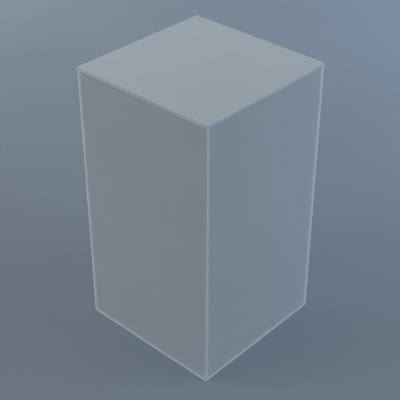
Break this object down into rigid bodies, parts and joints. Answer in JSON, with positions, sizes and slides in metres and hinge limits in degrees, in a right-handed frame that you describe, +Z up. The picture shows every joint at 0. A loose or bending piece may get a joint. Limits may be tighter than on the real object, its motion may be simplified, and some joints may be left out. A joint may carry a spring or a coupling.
{
  "type": "acrylic display plinth",
  "caption": "Tall square display plinth: a hollow box of frosted translucent sheet, closed on top and open underneath, with glued butt joints.",
  "frame": {"origin": "centre of the base, on the surface that the plinth stands on", "axes": "+Z up the plinth's axis to its top face; -Y towards the front wall, +X towards the right wall"},
  "size_m": [0.25, 0.25, 0.45],
  "materials": {
    "frosted_acrylic": "frosted, satin on both faces, translucent",
    "acrylic_cement": "clear, slightly milky, set cement"
  },
  "bodies": {
    "root": {"top_panel": "frosted_acrylic", "front_panel": "frosted_acrylic", "rear_panel": "frosted_acrylic", "left_panel": "frosted_acrylic", "right_panel": "frosted_acrylic", "front_top_seam": "acrylic_cement", "rear_top_seam": "acrylic_cement", "left_top_seam": "acrylic_cement", "right_top_seam": "acrylic_cement", "front_left_corner_seam": "acrylic_cement", "front_right_corner_seam": "acrylic_cement", "rear_left_corner_seam": "acrylic_cement", "rear_right_corner_seam": "acrylic_cement"}
  },
  "joints": []
}
